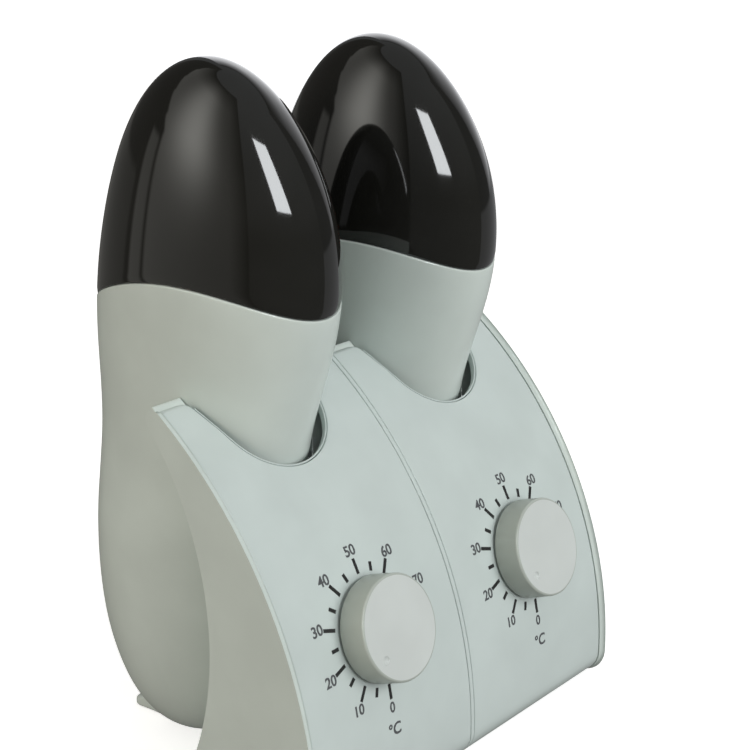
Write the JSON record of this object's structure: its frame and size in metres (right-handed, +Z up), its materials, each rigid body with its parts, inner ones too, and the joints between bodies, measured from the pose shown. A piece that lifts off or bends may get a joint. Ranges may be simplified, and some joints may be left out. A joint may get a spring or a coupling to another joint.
{
  "type": "boot dryer",
  "caption": "Free-standing boot dryer: upright heated pods with smoked caps stand behind a crescent housing that has a turning temperature dial for each pod.",
  "frame": {"origin": "on the ground under the middle of the dryer's bounding box", "axes": "+Z up; the dials face -Y; +X is to the right when facing the dials"},
  "size_m": [0.19, 0.1539, 0.274],
  "materials": {
    "shell": "satin",
    "panel": "satin",
    "knob": "satin",
    "smoked_cap": "gloss",
    "dial_print": "matte",
    "black_plastic": "matte",
    "phenolic": "matte",
    "ceramic": "matte",
    "resistance_wire": "satin",
    "aluminium": "satin",
    "steel": "satin",
    "copper": "satin",
    "lead": "satin",
    "rubber": "matte"
  },
  "bodies": {
    "base": {"housing_shell": "shell", "base_plate": "shell", "base_screws": "steel", "rubber_feet": "rubber", "front_panel_left": "panel", "front_panel_right": "panel", "panel_screws_left": "steel", "panel_screws_right": "steel", "dial_marks_left": "dial_print", "dial_marks_right": "dial_print", "pod_shell_left": "shell", "pod_shell_right": "shell", "pod_cap_left": "smoked_cap", "pod_cap_right": "smoked_cap", "cap_ring_left": "shell", "cap_ring_right": "shell", "pod_foot_left": "shell", "pod_foot_right": "shell", "pod_neck_left": "shell", "pod_neck_right": "shell", "neck_nut_left": "shell", "neck_nut_right": "shell", "heater_bracket_left": "steel", "heater_bracket_right": "steel", "bracket_screw_left": "steel", "bracket_screw_right": "steel", "heater_core_left": "ceramic", "heater_core_right": "ceramic", "heater_winding_left": "resistance_wire", "heater_winding_right": "resistance_wire", "heat_shield_left": "aluminium", "heat_shield_right": "aluminium", "thermal_fuse_left": "ceramic", "thermal_fuse_right": "ceramic", "thermostat_left": "phenolic", "thermostat_right": "phenolic", "thermostat_nut_left": "steel", "thermostat_nut_right": "steel", "sensor_left": "copper", "sensor_right": "copper", "supply_lead_left": "lead", "supply_lead_right": "lead", "heater_lead_left": "lead", "heater_lead_right": "lead", "terminal_block": "phenolic", "cord_gland": "black_plastic", "gland_nut": "black_plastic"},
    "dial_left": {"knob_left": "knob", "spindle_left": "steel", "hub_ring_left": "steel"},
    "dial_right": {"knob_right": "knob", "spindle_right": "steel", "hub_ring_right": "steel"}
  },
  "joints": [
    {"name": "dial_left_turn", "type": "hinge", "parent": "base", "child": "dial_left", "pos_m": [-0.0475, -0.05887, 0.07219], "axis": [0, 0.9405, -0.3399], "range_deg": [-54, 234]},
    {"name": "dial_right_turn", "type": "hinge", "parent": "base", "child": "dial_right", "pos_m": [0.0475, -0.05887, 0.07219], "axis": [0, 0.9405, -0.3399], "range_deg": [-54, 234]}
  ]
}
